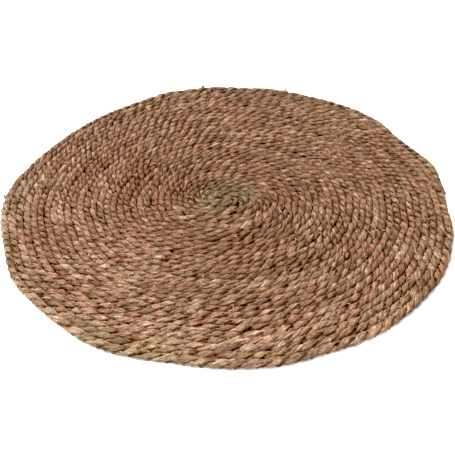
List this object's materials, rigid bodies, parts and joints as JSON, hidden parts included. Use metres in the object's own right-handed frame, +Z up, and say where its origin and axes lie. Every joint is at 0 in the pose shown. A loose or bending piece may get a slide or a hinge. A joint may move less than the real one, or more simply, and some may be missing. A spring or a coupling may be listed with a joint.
{
  "type": "round rope rug",
  "caption": "Round flat floor rug of thick twisted grass rope, coiled in a spiral and sewn turn to turn, with a ribbed top, a slightly uneven rim and the rope's end sewn down at the side.",
  "frame": {"origin": "middle of the rug, on the underside that lies on the floor", "axes": "+Z up from the floor, through the rug's thickness; -Y towards the near side; the rope's outer end lies at +X"},
  "size_m": [1.0108, 1.0102, 0.015],
  "materials": {
    "grass_rope": "dry twisted grass blades, matt with a slight straw sheen, tan to reddish brown with olive stretches"
  },
  "bodies": {
    "root": {"rug": "grass_rope"}
  },
  "joints": []
}
